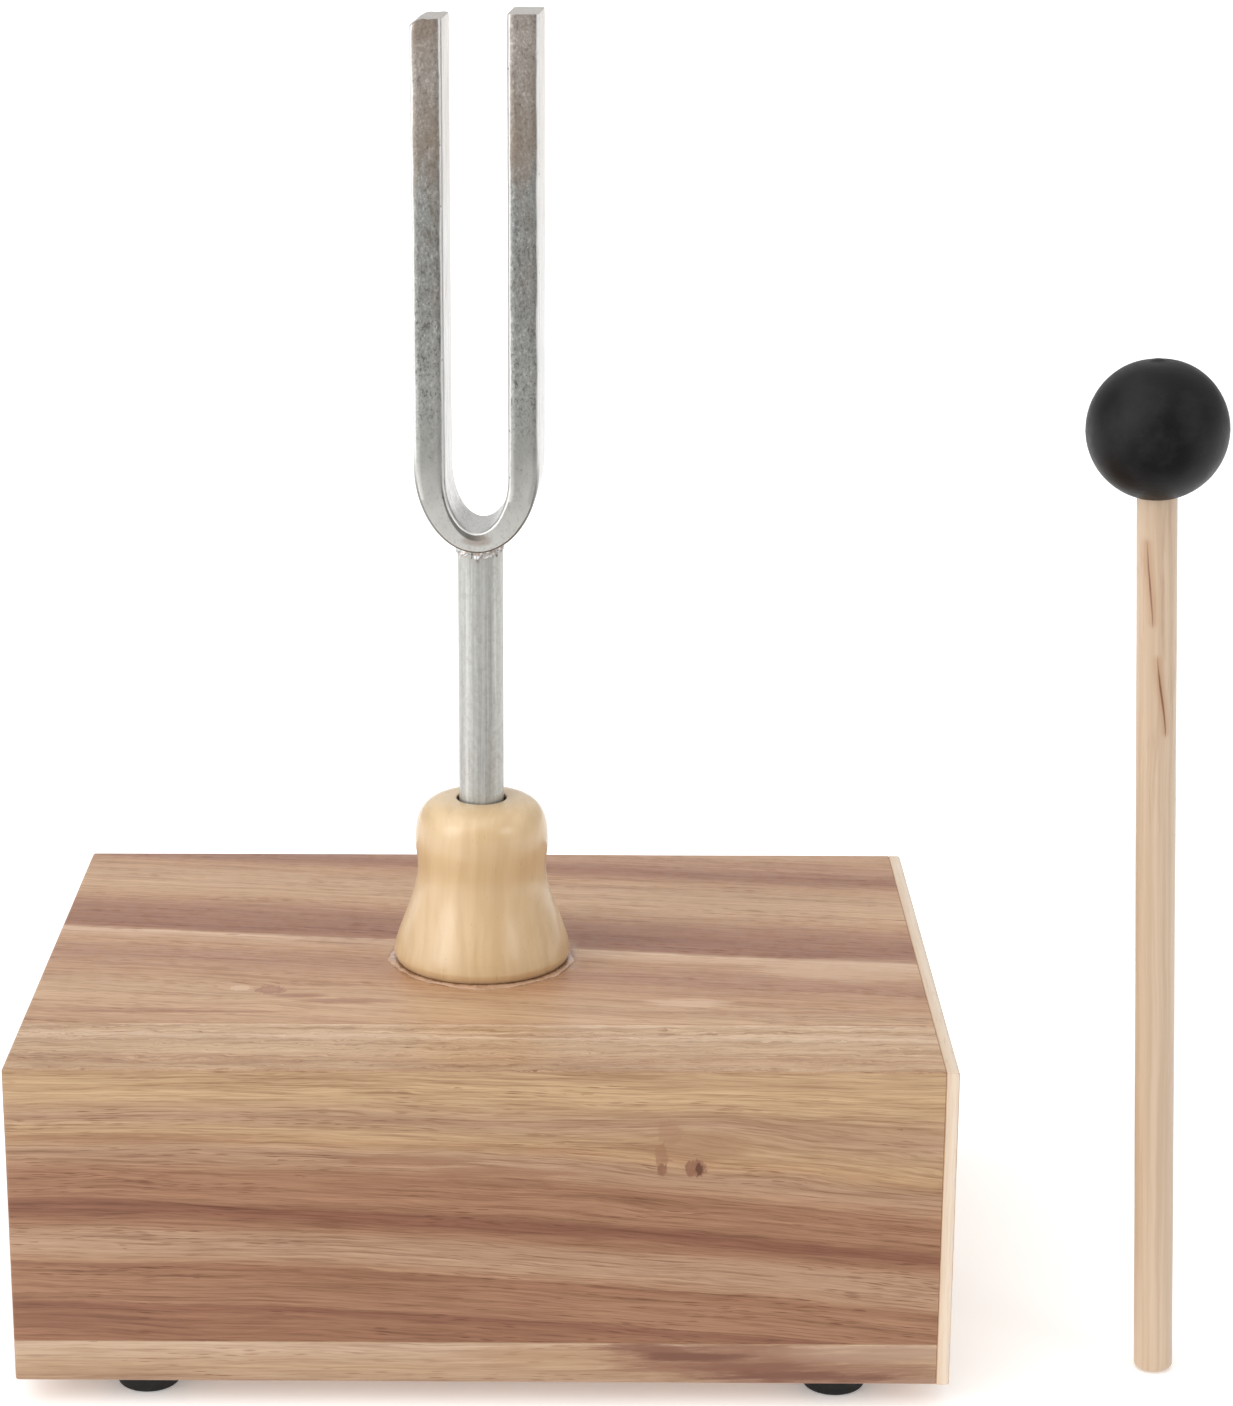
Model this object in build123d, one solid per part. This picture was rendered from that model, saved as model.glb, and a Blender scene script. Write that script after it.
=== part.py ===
from build123d import *
import os

# Tuning fork on its resonance box, with its rubber-headed mallet. All sizes in mm.
# X runs along the box to the right, Y from its long front face to the back, Z up from the table.
# The origin is on the table, under the middle of the whole set.

# Resonance box: a quarter-wave wooden tube, open at its left end and closed at its right end.
box_length = 180.0
box_depth = 128.0
box_height = 64.4
board = 8.5                 # top, bottom and back boards
front_thickness = 24.3      # the heavy front board, whose top edge lies flush with the top
end_panel_thickness = 2.5   # thin light panel that closes the right end
edge_break = 0.4

# Feet: self-adhesive rubber bumpers.
foot_radius = 7.2
foot_tip_radius = 6.2
foot_height = 5.0
foot_round = 1.0
pad_radius = 6.8
pad_thickness = 0.2
foot_inset_left = 24.5
foot_inset_right = 21.5
foot_inset_front = 11.0

# Turned socket: a bell with a spigot that is glued into the top board.
socket_base_radius = 18.0
socket_rim_height = 1.6
socket_waist = (13.05, 20.0)      # radius, height
socket_shoulder = (13.5, 25.5)    # radius, height
rim_lean = (-0.2, 1.0)            # the way the flare leaves its rim
socket_height = 34.2
socket_mouth_land = 6.4
spigot_radius = 7.0
spigot_length = 8.0
glue_width = 1.0
glue_height = 0.7
socket_from_front = 62.5
spigot_play = 0.1

# Fork: a flat steel bar bent to a U and welded on a round stem.
tine_gap = 12.4
tine_thickness = 6.1
bar_depth = 16.0
bar_edge = 0.5
fork_tip = 190.8            # height of the right tine's tip above the box
left_tine_filed = 0.9       # the left tine is filed shorter, and on its outer corner
filed_corner = 1.4
inner_bend_center = 101.9   # the U is two half ellipses
inner_bend_drop = 11.2
outer_bend_center = 104.0
outer_bend_drop = 17.4
flexure_gap = 0.1           # the cut where each tine's flexing is gathered
stem_radius = 4.5
stem_in_socket = 34.0
stem_top = 89.0
stem_edge = 0.6
stem_play = 0.06            # radial running clearance in the bore
mouth_play = 0.45           # wider mouth of the bore
mouth_depth = 3.0
bore_floor_gap = 0.3
fork_turn = -3.5            # the fork stands slightly turned in its socket
weld_reach = 1.2
weld_slope = 0.96           # the chamfer along the weld's foot
weld_bottom = 84.6

# Mallet: a rubber ball on a dowel, standing beside the box.
ball_radius = 13.1
stick_radius = 3.78
mallet_length = 201.6
stick_in_ball = 18.0
stick_edge = 0.6
mallet_offset = 42.3        # from the box's right end to the dowel's foot
mallet_from_front = 18.4
mallet_lean = -2.54         # degrees about Y: the ball end leans towards the box

# Cutting shapes run past the faces they cut.
cut_margin = 1.0
whole_fork = 50.0           # radius that holds the whole fork

# Places worked out from the sizes above.
box_bottom = pad_thickness + foot_height
box_top = box_bottom + box_height
mallet_axis = Vector(0, 0, 1).rotate(Axis.Y, mallet_lean)
ball_reach = mallet_offset + mallet_axis.X * (mallet_length - ball_radius) + ball_radius
box_left = -(box_length + ball_reach) / 2
box_right = box_left + box_length
boards_right = box_right - end_panel_thickness
boards_length = box_length - end_panel_thickness
box_front = -box_depth / 2
box_back = box_depth / 2
socket_x = box_left + boards_length / 2
socket_y = box_front + socket_from_front
split_height = outer_bend_center
tine_x = (tine_gap + tine_thickness) / 2


def block(x, y, z, length, depth, height):
    """A board from its left front bottom corner, with slightly broken edges."""
    shape = Box(length, depth, height, align=(Align.MIN, Align.MIN, Align.MIN))
    return Pos(x, y, z) * chamfer(shape.edges(), edge_break)


def on_box(shape):
    """Moves a shape from the socket's own frame to its place on the box."""
    return Pos(socket_x, socket_y, box_top) * shape


def on_fork(shape):
    """Moves a shape from the fork's own frame to its place, turned in the socket."""
    return on_box(Rot(0, 0, fork_turn) * shape)


def post(radius, low, high):
    """An upright cylinder between two heights."""
    return Pos(0, 0, low) * Cylinder(radius, high - low, align=(Align.CENTER, Align.CENTER, Align.MIN))


def make_boards():
    """The five boards. The front one stands on the bottom board, and the top board lies behind it."""
    inner_y = box_front + front_thickness
    above_bottom = box_bottom + board
    top = block(box_left, inner_y, box_top - board, boards_length, box_back - inner_y, board)
    return {
        "bottom_board": block(box_left, box_front, box_bottom, boards_length, box_depth, board),
        "front_board": block(
            box_left, box_front, above_bottom, boards_length, front_thickness, box_top - above_bottom
        ),
        "back_board": block(
            box_left, box_back - board, above_bottom, boards_length, board, box_height - 2 * board
        ),
        "top_board": top - on_box(post(spigot_radius, -board - cut_margin, cut_margin)),
        "end_panel": block(
            boards_right, box_front, box_bottom, end_panel_thickness, box_depth, box_height
        ),
    }


def make_feet():
    """Four bumpers, each with its own name, and their adhesive pads as one group."""
    columns = {"left": box_left + foot_inset_left, "right": box_right - foot_inset_right}
    rows = {"front": box_front + foot_inset_front, "back": box_back - foot_inset_front}
    bumper = Cone(foot_tip_radius, foot_radius, foot_height, align=(Align.CENTER, Align.CENTER, Align.MIN))
    bumper = fillet(bumper.edges().sort_by(Axis.Z)[0], foot_round)
    feet = {}
    pads = []
    for row, y in rows.items():
        for column, x in columns.items():
            feet[f"foot_{row}_{column}"] = Pos(x, y, 0) * bumper
            pads.append(Pos(x, y, 0) * post(pad_radius, foot_height, box_bottom))
    feet["foot_adhesive_pads"] = Compound(children=pads)
    return feet


def make_socket():
    """The turned bell with its spigot and blind bore, and the bead of glue round its base."""
    spigot = spigot_radius - spigot_play
    rim = (socket_base_radius, socket_rim_height)
    land = (socket_mouth_land, socket_height)
    with BuildPart() as bell:
        with BuildSketch(Plane.XZ):
            with BuildLine():
                Polyline((0, socket_height), (0, -spigot_length), (spigot, -spigot_length), (spigot, 0))
                Polyline((spigot, 0), (socket_base_radius, 0), rim)
                Spline(rim, socket_waist, socket_shoulder, tangents=[rim_lean, (0, 1), (0, 1)])
                Spline(socket_shoulder, land, tangents=[(0, 1), (-1, 0)])
                Line(land, (0, socket_height))
            make_face()
        revolve(axis=Axis.Z)
    above = socket_height + cut_margin
    bore = post(stem_radius + stem_play, socket_height - stem_in_socket - bore_floor_gap, above)
    mouth = post(stem_radius + mouth_play, socket_height - mouth_depth, above)
    bead = Torus(socket_base_radius + glue_width / 2, glue_width)
    bead = bead & post(socket_base_radius + glue_width, 0, glue_height)
    bead = bead - post(socket_base_radius, -cut_margin, glue_height + cut_margin)
    return {"fork_socket": on_box(bell.part - bore - mouth), "socket_glue_bead": on_box(bead)}


def half_ellipse(half_width, center, drop, top):
    """The inside of a U: straight sides above the center height, and half an ellipse below it."""
    with BuildSketch(Plane.XZ) as sketch:
        with Locations((0, center)):
            Ellipse(half_width, drop)
        with Locations((0, center)):
            Rectangle(2 * half_width, top - center, align=(Align.CENTER, Align.MIN))
    return sketch.sketch


def make_fork():
    """The bent bar as its bend and two tines, the round stem, and the weld bead between them."""
    high = fork_tip + cut_margin
    outer = half_ellipse(tine_gap / 2 + tine_thickness, outer_bend_center, outer_bend_drop, high)
    inner = half_ellipse(tine_gap / 2, inner_bend_center, inner_bend_drop, high)
    outer_solid = extrude(outer, bar_depth / 2, both=True)
    inner_solid = extrude(inner, bar_depth, both=True)
    bend = (outer_solid - inner_solid) & post(whole_fork, 0, split_height - flexure_gap)

    lengths = {"left": fork_tip - left_tine_filed, "right": fork_tip}
    tines = {}
    for side, sign in (("left", -1), ("right", 1)):
        height = lengths[side] - split_height
        tine = Pos(sign * tine_x, 0, split_height) * Box(
            tine_thickness, bar_depth, height, align=(Align.CENTER, Align.CENTER, Align.MIN)
        )
        tine = chamfer(tine.edges().filter_by(Axis.Z), bar_edge)
        if side == "left":
            outer_top = tine.edges().filter_by(Axis.Y).sort_by(Axis.Z)[-2:].sort_by(Axis.X)[0]
            tine = chamfer(outer_top, filed_corner)
        tines[f"{side}_tine"] = on_fork(tine)

    foot = socket_height - stem_in_socket
    stem = post(stem_radius, foot, stem_top)
    stem = chamfer(stem.edges().sort_by(Axis.Z)[0], stem_edge) - outer_solid
    weld = post(stem_radius + weld_reach, weld_bottom, stem_top)
    weld = weld - post(stem_radius, 0, high) - outer_solid
    weld = chamfer(weld.edges().sort_by(Axis.Z)[:2].sort_by(SortBy.LENGTH)[-1], weld_slope)
    return {
        "fork_bend": on_fork(bend),
        **tines,
        "fork_stem": on_fork(stem),
        "stem_weld": on_fork(weld),
    }


def make_mallet():
    """The rubber ball and its dowel, upright beside the box with a slight lean."""
    stick_top = mallet_length - 2 * ball_radius + stick_in_ball
    stick = post(stick_radius, 0, stick_top)
    stick = chamfer(stick.edges().sort_by(Axis.Z)[0], stick_edge)
    ball = Pos(0, 0, mallet_length - ball_radius) * Sphere(ball_radius)
    ball = ball - post(stick_radius, 0, stick_top)
    lift = stick_radius * abs(mallet_axis.X)
    place = Pos(box_right + mallet_offset, box_front + mallet_from_front, lift) * Rot(0, mallet_lean, 0)
    return {"mallet_stick": place * stick, "mallet_ball": place * ball}


def main():
    parts = {**make_boards(), **make_feet(), **make_socket(), **make_fork(), **make_mallet()}
    os.makedirs("parts", exist_ok=True)
    for name, shape in parts.items():
        export_step(shape, f"parts/{name}.step")
    box = Compound(children=list(parts.values())).bounding_box()
    print("whole set", box.min, box.max)


main()
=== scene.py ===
"""The looks of the tuning fork set: detailed pieces and procedural materials round the CAD frame."""

import math
from dataclasses import dataclass

import bmesh
import bpy
from mathutils import Matrix, Vector, noise


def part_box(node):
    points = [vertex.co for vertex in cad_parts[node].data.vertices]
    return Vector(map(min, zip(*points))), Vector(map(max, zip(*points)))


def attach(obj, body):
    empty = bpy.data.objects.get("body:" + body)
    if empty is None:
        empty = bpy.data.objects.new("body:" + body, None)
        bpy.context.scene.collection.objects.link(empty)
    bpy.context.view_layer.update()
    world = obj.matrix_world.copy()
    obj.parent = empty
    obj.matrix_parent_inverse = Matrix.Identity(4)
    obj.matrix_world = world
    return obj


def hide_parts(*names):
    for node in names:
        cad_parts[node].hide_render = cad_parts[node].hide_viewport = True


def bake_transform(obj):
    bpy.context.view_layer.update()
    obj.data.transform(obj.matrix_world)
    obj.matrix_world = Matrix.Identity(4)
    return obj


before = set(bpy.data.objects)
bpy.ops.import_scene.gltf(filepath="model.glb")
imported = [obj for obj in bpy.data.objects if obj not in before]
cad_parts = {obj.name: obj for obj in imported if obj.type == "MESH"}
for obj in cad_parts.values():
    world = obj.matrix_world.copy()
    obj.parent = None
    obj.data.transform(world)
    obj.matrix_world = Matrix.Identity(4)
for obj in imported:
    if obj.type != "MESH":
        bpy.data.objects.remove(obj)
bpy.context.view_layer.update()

MM = 0.001
FULL_TURN = 2 * math.pi
UP = Vector((0, 0, 1))


# ---- places, in mm


def corners(node):
    low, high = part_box(node)
    return Vector(low) / MM, Vector(high) / MM


BOX_LEFT, BOX_FRONT, BOX_BOTTOM = corners("bottom_board")[0]
BOX_RIGHT, BOX_TOP = corners("end_panel")[1].x, corners("top_board")[1].z
BOX_MIDDLE = (BOX_LEFT + BOX_RIGHT) / 2
socket_low, socket_high = corners("fork_socket")
FORK_FOOT = Vector(((socket_low.x + socket_high.x) / 2, (socket_low.y + socket_high.y) / 2, BOX_TOP))
FORK_TURN = Matrix.Rotation(math.radians(-3.5), 3, "Z")
TINE_GAP = 12.4
TINE_THICKNESS = 6.1
BAR_DEPTH = 16.0
INNER_CENTER, INNER_DROP = 101.9, 11.2
OUTER_CENTER, OUTER_DROP = 104.0, 17.4
STEM_RADIUS = 4.5
BALL_RADIUS = 13.1
STICK_RADIUS = 3.78
MALLET_LEAN = math.radians(-2.54)


# ---- colours and node helpers


def rgb(red, green, blue):
    """A colour given in screen values from 0 to 255, as the linear colour that a shader takes."""
    out = []
    for value in (red, green, blue):
        value /= 255
        out.append(value / 12.92 if value <= 0.04045 else ((value + 0.055) / 1.055) ** 2.4)
    return (*out, 1.0)


class Nodes:
    """A node tree and short calls that add its nodes."""

    def __init__(self, tree):
        self.tree = tree

    def set(self, node, values):
        for key, value in values.items():
            if value is None:
                continue
            socket = node.inputs[key]
            if isinstance(value, bpy.types.NodeSocket):
                self.tree.links.new(value, socket)
            else:
                socket.default_value = value

    def node(self, kind, values, output=0, **settings):
        node = self.tree.nodes.new("ShaderNode" + kind)
        for key, value in settings.items():
            setattr(node, key, value)
        self.set(node, values)
        return node.outputs[output]

    def math(self, operation, a, b=None, c=None):
        return self.node("Math", {0: a, 1: b, 2: c}, operation=operation)

    def add(self, a, b):
        return self.math("ADD", a, b)

    def times(self, a, b):
        return self.math("MULTIPLY", a, b)

    def vector(self, operation, a, b=None, output=0, **values):
        return self.node("VectorMath", {0: a, 1: b, **values}, output, operation=operation)

    def split(self, vector):
        node = self.tree.nodes.new("ShaderNodeSeparateXYZ")
        self.set(node, {0: vector})
        return node.outputs

    def join(self, x, y, z):
        return self.node("CombineXYZ", {0: x, 1: y, 2: z})

    def stretch(self, vector, x, y, z):
        return self.vector("MULTIPLY", vector, (x, y, z))

    def noise(self, vector, scale=1.0, detail=3.0, roughness=0.5, distortion=0.0):
        values = {"Vector": vector, "Scale": scale, "Detail": detail, "Roughness": roughness}
        values["Distortion"] = distortion
        return self.node("TexNoise", values)

    def cells(self, vector, scale=1.0, output=0):
        """The distance to the nearest scattered point (output 0), or its random colour (output 1)."""
        return self.node("TexVoronoi", {"Vector": vector, "Scale": scale}, output)

    def ramp(self, factor, stops):
        """Colours by position, from 0 to 1."""
        node = self.tree.nodes.new("ShaderNodeValToRGB")
        elements = node.color_ramp.elements
        while len(elements) < len(stops):
            elements.new(1.0)
        for element, (position, colour) in zip(elements, sorted(stops)):
            element.position = position
            element.color = colour
        self.set(node, {0: factor})
        return node.outputs[0]

    def between(self, value, low, high, out_low=0.0, out_high=1.0, smooth=True):
        """Maps value from one range to another, clamped."""
        kind = "SMOOTHSTEP" if smooth else "LINEAR"
        values = {0: value, 1: low, 2: high, 3: out_low, 4: out_high}
        return self.node("MapRange", values, interpolation_type=kind)

    def mix(self, factor, a, b, blend="MIX"):
        return self.node("Mix", {0: factor, 6: a, 7: b}, 2, data_type="RGBA", blend_type=blend)

    def over(self, colour, tint, value, low, high, amount):
        """Lays a tint over a colour, by how far a value is on its way from one limit to the other."""
        return self.mix(self.between(value, low, high, 0, amount), colour, tint)

    def squares(self, a, b):
        return self.add(self.times(a, a), self.times(b, b))

    def specks(self, vector, scale, edge, full, share):
        """Specks round a share of scattered points: the distances where a speck begins and is full."""
        lot = self.split(self.cells(vector, scale, 1))[0]
        near = self.between(self.cells(vector, scale), edge, full)
        return self.times(near, self.math("LESS_THAN", lot, share))

    def mix_number(self, factor, a, b):
        return self.node("Mix", {0: factor, 2: a, 3: b})

    def facing(self, direction, low=0.55, high=0.85):
        """1 where the surface looks along a direction, either way, and 0 elsewhere."""
        normal = self.tree.nodes.new("ShaderNodeNewGeometry").outputs["Normal"]
        along = self.math("ABSOLUTE", self.vector("DOT_PRODUCT", normal, direction, 1))
        return self.between(along, low, high)

    def bump(self, height, distance, under=None):
        """A bump of so many mm for a height of one."""
        values = {"Height": height, "Distance": distance * MM, "Strength": 1.0, "Normal": under}
        return self.node("Bump", values)


class Paint(Nodes):
    """One procedural material. Its place vector is in mm."""

    def __init__(self, name, **sockets):
        self.material = bpy.data.materials.new(name)
        self.material.use_nodes = True
        super().__init__(self.material.node_tree)
        self.shader = self.tree.nodes["Principled BSDF"]
        self.finish(**sockets)
        coordinates = self.tree.nodes.new("ShaderNodeTexCoord").outputs["Object"]
        self.place = self.vector("SCALE", coordinates, Scale=1 / MM)

    def surface(self, colour, rough, normal):
        return self.finish(Base_Color=colour, Roughness=rough, Normal=normal)

    def measured_from(self, point):
        return self.vector("SUBTRACT", self.place, tuple(point))

    def finish(self, **sockets):
        self.set(self.shader, {key.replace("_", " "): value for key, value in sockets.items()})
        return self.material


# ---- wood

CREAM = rgb(214, 184, 150)
STRAW = rgb(203, 170, 131)
HONEY = rgb(194, 161, 124)
TAN = rgb(190, 152, 114)
AMBER = rgb(184, 143, 101)
SAND = rgb(183, 148, 119)
CLAY = rgb(176, 136, 105)
ROSE = rgb(166, 123, 93)
RED = rgb(155, 110, 82)
BROWN = rgb(142, 95, 71)
UMBER = rgb(126, 80, 59)
BARK = rgb(100, 60, 42)
PORE = rgb(92, 54, 38)
SHADE = (0.62, 0.49, 0.41, 1.0)
LIGHT = (1.15, 1.16, 1.19, 1.0)
PORE_SHADE = (0.56, 0.40, 0.32, 1.0)


@dataclass
class Lay:
    """How the grain lies on one face: bands of colour by mm across it, and how their lines run."""

    bands: list
    slope: float = 0.0
    curve: float = 0.0
    calm: tuple = ()  # the slope fades from the first place across to the second, to the third's share
    wobble: float = 1.0
    curl: float = 0.0
    contrast: float = 1.0
    pores: float = 1.0
    tint: tuple = ()
    knots: tuple = ()  # along, across, half width, half height, push
    spots: tuple = ()  # along, across, half width, half height, strength, colour
    swap: bool = False  # the grain runs across instead


CRISP_SPOT = 3.5  # narrower spots than this have a chipped edge, and wider ones a feathered one


def soft_spot(paint, along, across, x, up, wide, tall):
    """The squared distance from a spot, in units of its own half width and half height."""
    right = paint.times(paint.add(along, -x), 1 / wide)
    above = paint.times(paint.add(across, -up), 1 / tall)
    return paint.squares(right, above), above


def grain(paint, along, across, deep, lay, seed):
    """The colour and height of one sawn face. All three places are in mm."""
    if lay.swap:
        along, across = across, along
    level = paint.add(paint.times(deep, 0.06), seed * 3.7)

    def field(x_scale, y, y_scale, offset, detail, roughness=0.5):
        place = paint.join(paint.times(along, x_scale), paint.times(y, y_scale), paint.add(level, offset))
        return paint.noise(place, 1.0, detail, roughness)

    drift = paint.add(field(0.012, across, 0.05, 0, 2), -0.5)
    ripple = paint.add(field(0.040, across, 0.30, 7, 3, 0.55), -0.5)
    feather = paint.add(field(0.11, across, 1.6, 23, 4, 0.65), -0.5)
    line = paint.add(across, paint.times(drift, 6 * lay.wobble))
    line = paint.add(line, paint.times(ripple, 2.6 * lay.wobble))
    if lay.curl:
        curl = paint.add(field(0.15, across, 0.35, 43, 3, 0.5), -0.5)
        line = paint.add(line, paint.times(curl, lay.curl))
    bow = paint.times(paint.add(lay.slope, paint.times(along, lay.curve)), along)
    if lay.calm:
        bow = paint.times(bow, paint.between(across, lay.calm[0], lay.calm[1], 1.0, lay.calm[2]))
    line = paint.add(line, bow)
    for x, up, wide, tall, push in lay.knots:
        square, above = soft_spot(paint, along, across, x, up, wide, tall)
        bell = paint.math("EXPONENT", paint.times(square, -1))
        line = paint.add(line, paint.times(paint.times(bell, above), push))

    low, high = lay.bands[0][0], lay.bands[-1][0]
    stops = [((position - low) / (high - low), colour) for position, colour in lay.bands]
    torn = paint.add(line, paint.times(feather, 1.5))
    colour = paint.ramp(paint.between(torn, low, high, smooth=False), stops)

    def layer(colour, value, strength):
        """Darker and lighter lines where a noise leaves its middle."""
        strength *= lay.contrast
        colour = paint.mix(paint.between(value, 0.49, 0.67, 0, strength), colour, SHADE, "MULTIPLY")
        return paint.mix(paint.between(value, 0.49, 0.33, 0, strength), colour, LIGHT, "MULTIPLY")

    fibre = field(0.12, line, 4.6, 3, 3, 0.7)
    colour = layer(colour, field(0.014, line, 0.42, 13, 3, 0.6), 0.30)
    colour = layer(colour, field(0.022, line, 1.2, 29, 4, 0.66), 0.44)
    colour = layer(colour, field(0.050, line, 2.4, 37, 3, 0.66), 0.58)
    colour = layer(colour, fibre, 0.44)

    hair = paint.math("ABSOLUTE", paint.add(field(0.016, line, 0.75, 51, 4, 0.6), -0.5))
    shown = paint.between(field(0.020, line, 0.12, 61, 2), 0.44, 0.60, 0, 0.55 * lay.contrast)
    colour = paint.mix(paint.times(paint.between(hair, 0.020, 0.003), shown), colour, SHADE, "MULTIPLY")

    # Open pores: thin dark dashes along the grain, gathered in patches.
    dashes = paint.join(paint.times(along, 0.20), paint.times(line, 3.3), paint.add(level, 11))
    share = paint.between(field(0.022, line, 0.16, 5, 2), 0.48, 0.66, 0.0, 0.66)
    pore = paint.specks(dashes, 1.0, 0.42, 0.16, share)
    colour = paint.mix(paint.times(pore, 0.75 * lay.pores), colour, PORE_SHADE, "MULTIPLY")

    if lay.spots:
        ragged = paint.add(field(0.11, line, 1.3, 17, 4, 0.65), -0.5)
        chipped = paint.add(field(1.6, across, 0.7, 71, 3, 0.6), -0.5)
        for x, up, wide, tall, strength, tint in lay.spots:
            square = soft_spot(paint, along, across, x, up, wide, tall)[0]
            if wide < CRISP_SPOT:
                edge = paint.add(square, paint.times(chipped, 2.4))
                colour = paint.mix(paint.between(edge, 1.2, 0.5, 0, strength), colour, tint)
            else:
                edge = paint.add(square, paint.times(ragged, 2.6))
                colour = paint.mix(paint.between(edge, 1.4, 0.1, 0, strength), colour, tint)
    if lay.tint:
        colour = paint.mix(1.0, colour, (*lay.tint, 1.0), "MULTIPLY")
    return colour, paint.add(paint.times(fibre, 0.3), paint.times(pore, -0.7))


def end_grain(paint, across, up, tone, seed):
    """The colour and height of a sawn end: arcs of growth rings and scattered pores."""
    flat = paint.join(across, up, seed)
    centre = (20.0 * math.sin(seed * 5) + BOX_FRONT * 0.2, -40.0 - 9 * math.cos(seed * 3), seed)
    radius = paint.vector("DISTANCE", flat, centre, 1)
    radius = paint.add(radius, paint.times(paint.noise(flat, 0.08), 6))
    rings = paint.noise(paint.join(paint.times(radius, 0.5), seed, 0.0), 1.0, 4.0, 0.65)
    colour = paint.ramp(rings, [(0.28, UMBER), (0.45, BROWN), (0.60, tone), (0.78, CLAY)])
    pore = paint.specks(flat, 1.6, 0.26, 0.08, 0.6)
    colour = paint.mix(paint.times(pore, 0.65), colour, PORE)
    saw = paint.noise(paint.stretch(flat, 0.15, 4.0, 1.0), 1.0, 3.0)
    return colour, paint.add(paint.times(saw, 0.5), paint.times(pore, -1.0))


def board_paint(name, seed, along_y, along_z, along_x=None, tone=ROSE, coat=0.18, stain=None):
    """A board's material. Each Lay is for the faces along its axis, and the rest is end grain."""
    paint = Paint(name, Coat_Weight=coat, Coat_Roughness=0.3, Specular_IOR_Level=0.35)
    x, y, z = paint.split(paint.place)
    along = paint.add(x, -BOX_MIDDLE)
    from_front = paint.add(y, -BOX_FRONT)
    from_bottom = paint.add(z, -BOX_BOTTOM)
    colour, height = end_grain(paint, from_front, from_bottom, tone, seed)
    layers = (
        (along_z, (0, 0, 1), (along, from_front, from_bottom)),
        (along_y, (0, 1, 0), (along, from_bottom, from_front)),
        (along_x, (1, 0, 0), (from_front, from_bottom, along)),
    )
    for number, (lay, direction, places) in enumerate(layers):
        if lay is None:
            continue
        made, rise = grain(paint, *places, lay, seed + 0.3 * number)
        mask = paint.facing(direction)
        colour = paint.mix(mask, colour, made)
        height = paint.mix_number(mask, height, rise)
    rough = paint.between(height, -0.6, 0.3, 0.66, 0.46)
    if stain is not None:
        colour, rough = stain(paint, colour, rough)
    wear = paint.noise(paint.place, 0.35, 4.0, 0.6)
    rough = paint.add(rough, paint.between(wear, 0.4, 0.7, -0.05, 0.08))
    return paint.surface(colour, rough, paint.bump(height, 0.045))


def from_socket(paint):
    """The level distance from the middle of the socket."""
    foot = (FORK_FOOT.x, FORK_FOOT.y, 0)
    return paint.vector("DISTANCE", paint.stretch(paint.place, 1, 1, 0), foot, 1)


def glue_smears_and_foot_shade(paint, colour, rough):
    """Dried glue wiped round the socket with a darker gloss round it, and a thin line of painted shade at
    its edge.
    """
    away = from_socket(paint)
    ragged = paint.add(paint.noise(paint.place, 0.22, 4.0, 0.6), -0.5)
    reach = paint.add(away, paint.times(ragged, 7))
    smear = paint.between(reach, 21.5, 19.0)
    colour = paint.mix(paint.times(smear, 0.34), colour, AMBER)
    # Painted shade: a thin dark line round the socket's foot.
    colour = paint.over(colour, UMBER, away, 19.6, 18.3, 0.55)
    return colour, paint.mix_number(smear, rough, 0.3)


FRONT_LAY = Lay(
    [
        (8.5, RED), (11.5, RED), (13.3, BROWN), (14.2, ROSE), (20.5, ROSE), (22.1, RED),
        (22.8, CLAY), (25.5, SAND), (28.5, SAND), (31, ROSE), (33, BROWN), (34.4, BROWN),
        (35.6, ROSE), (41.4, ROSE), (42.8, CLAY), (46, SAND), (48.5, TAN), (51, HONEY),
        (53.5, SAND), (57, HONEY), (60, STRAW), (64, HONEY),
    ],
    slope=0.06,
    curve=0.0003,
    calm=(38, 60, 0.25),
    wobble=0.55,
    tint=(0.875, 0.875, 0.87),
    knots=((41.0, 48.5, 14.0, 6.0, -2.2),),
    spots=(
        (42.0, 49.5, 9.0, 3.6, 0.50, ROSE), (35.6, 52.2, 2.6, 2.6, 0.50, ROSE),
        (34.2, 47.0, 1.3, 3.2, 0.60, RED), (34.4, 44.6, 1.0, 1.4, 0.75, BROWN),
        (40.6, 44.9, 2.1, 1.9, 0.85, BROWN), (41.3, 44.7, 0.7, 1.3, 0.85, BARK),
        (-66.0, 50.5, 22.0, 1.2, 0.50, RED), (-14.0, 46.3, 14.0, 1.2, 0.60, RED),
        (4.0, 44.0, 16.0, 1.2, 0.55, RED), (66.0, 51.0, 26.0, 2.6, 0.30, CLAY),
        (-84.0, 13.0, 20.0, 1.8, 0.35, UMBER),
    ),
)
STRIP_LAY = Lay(
    [(-1, TAN), (2, HONEY), (6, TAN), (10, STRAW), (15.5, HONEY), (17, CREAM), (21, STRAW), (25, CREAM)],
    slope=0.004,
    wobble=0.3,
    curl=4.0,
    contrast=1.1,
    tint=(0.955, 0.955, 1.01),
)
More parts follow.
